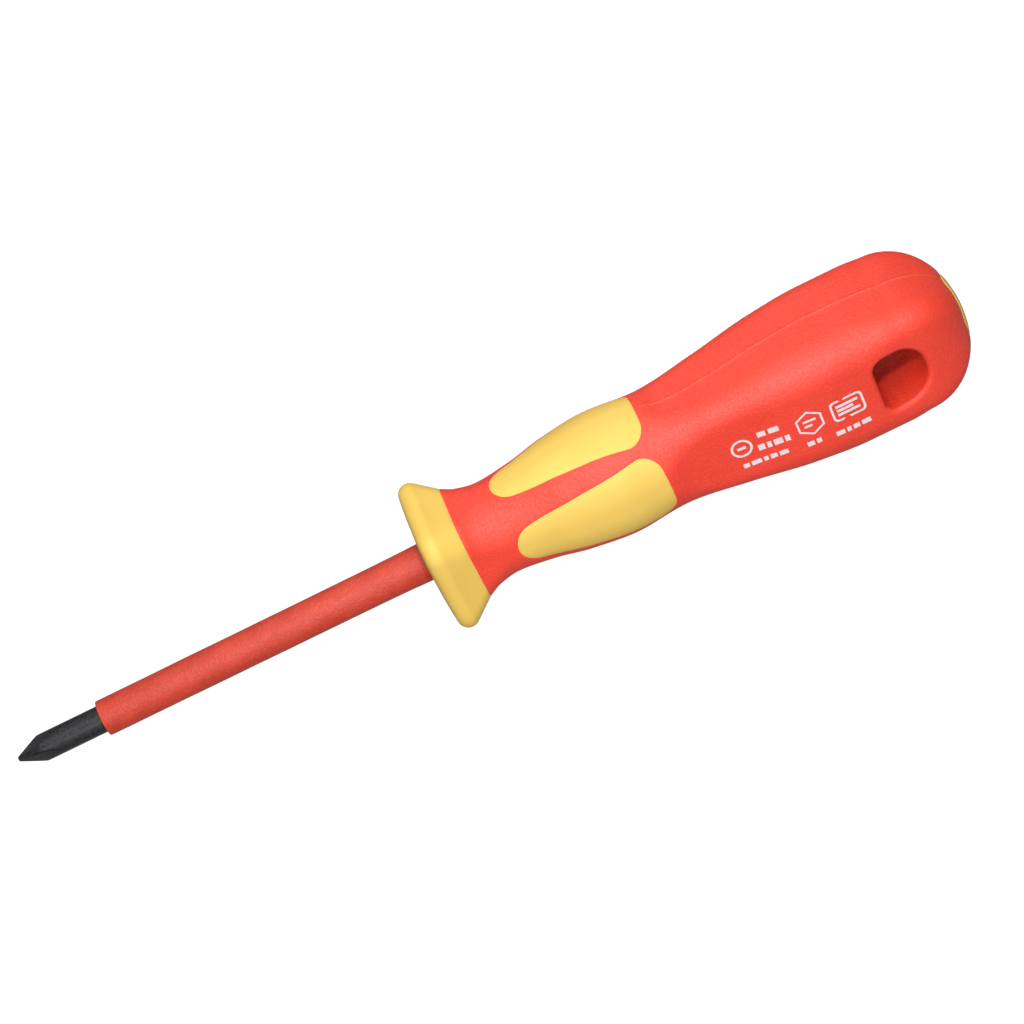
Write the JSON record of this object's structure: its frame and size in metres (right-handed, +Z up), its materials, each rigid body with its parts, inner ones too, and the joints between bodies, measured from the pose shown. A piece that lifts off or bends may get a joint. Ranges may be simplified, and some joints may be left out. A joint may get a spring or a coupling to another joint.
{
  "type": "insulated screwdriver",
  "caption": "Fixed insulated cross-point screwdriver: sleeved blade, square guard, waisted two-colour handle with inlaid finger pads and a hanging hole through the butt.",
  "frame": {"origin": "centre of the blunt end of the point, on the blade axis", "axes": "+X along the blade axis from the point to the butt, +Z up from the flat the tool lies on, hanging hole along Y"},
  "size_m": [0.1844, 0.0246, 0.0246],
  "materials": {
    "blade_steel": "black phosphated steel, satin",
    "sleeve_red": "smooth extruded red nylon, slight gloss",
    "cover_red": "fine-grained matte red moulding",
    "inlay_yellow": "smooth satin yellow moulding",
    "core_yellow": "plain yellow moulding, hidden",
    "print_white": "white pad-printed ink, for the marks on the handle"
  },
  "bodies": {
    "root": {"blade": "blade_steel", "shank_sleeve": "sleeve_red", "guard": "inlay_yellow", "grip_pad_top": "inlay_yellow", "grip_pad_front": "inlay_yellow", "grip_pad_bottom": "inlay_yellow", "grip_pad_back": "inlay_yellow", "grip_cover": "cover_red", "butt_insert": "inlay_yellow", "handle_core": "core_yellow"}
  },
  "joints": []
}
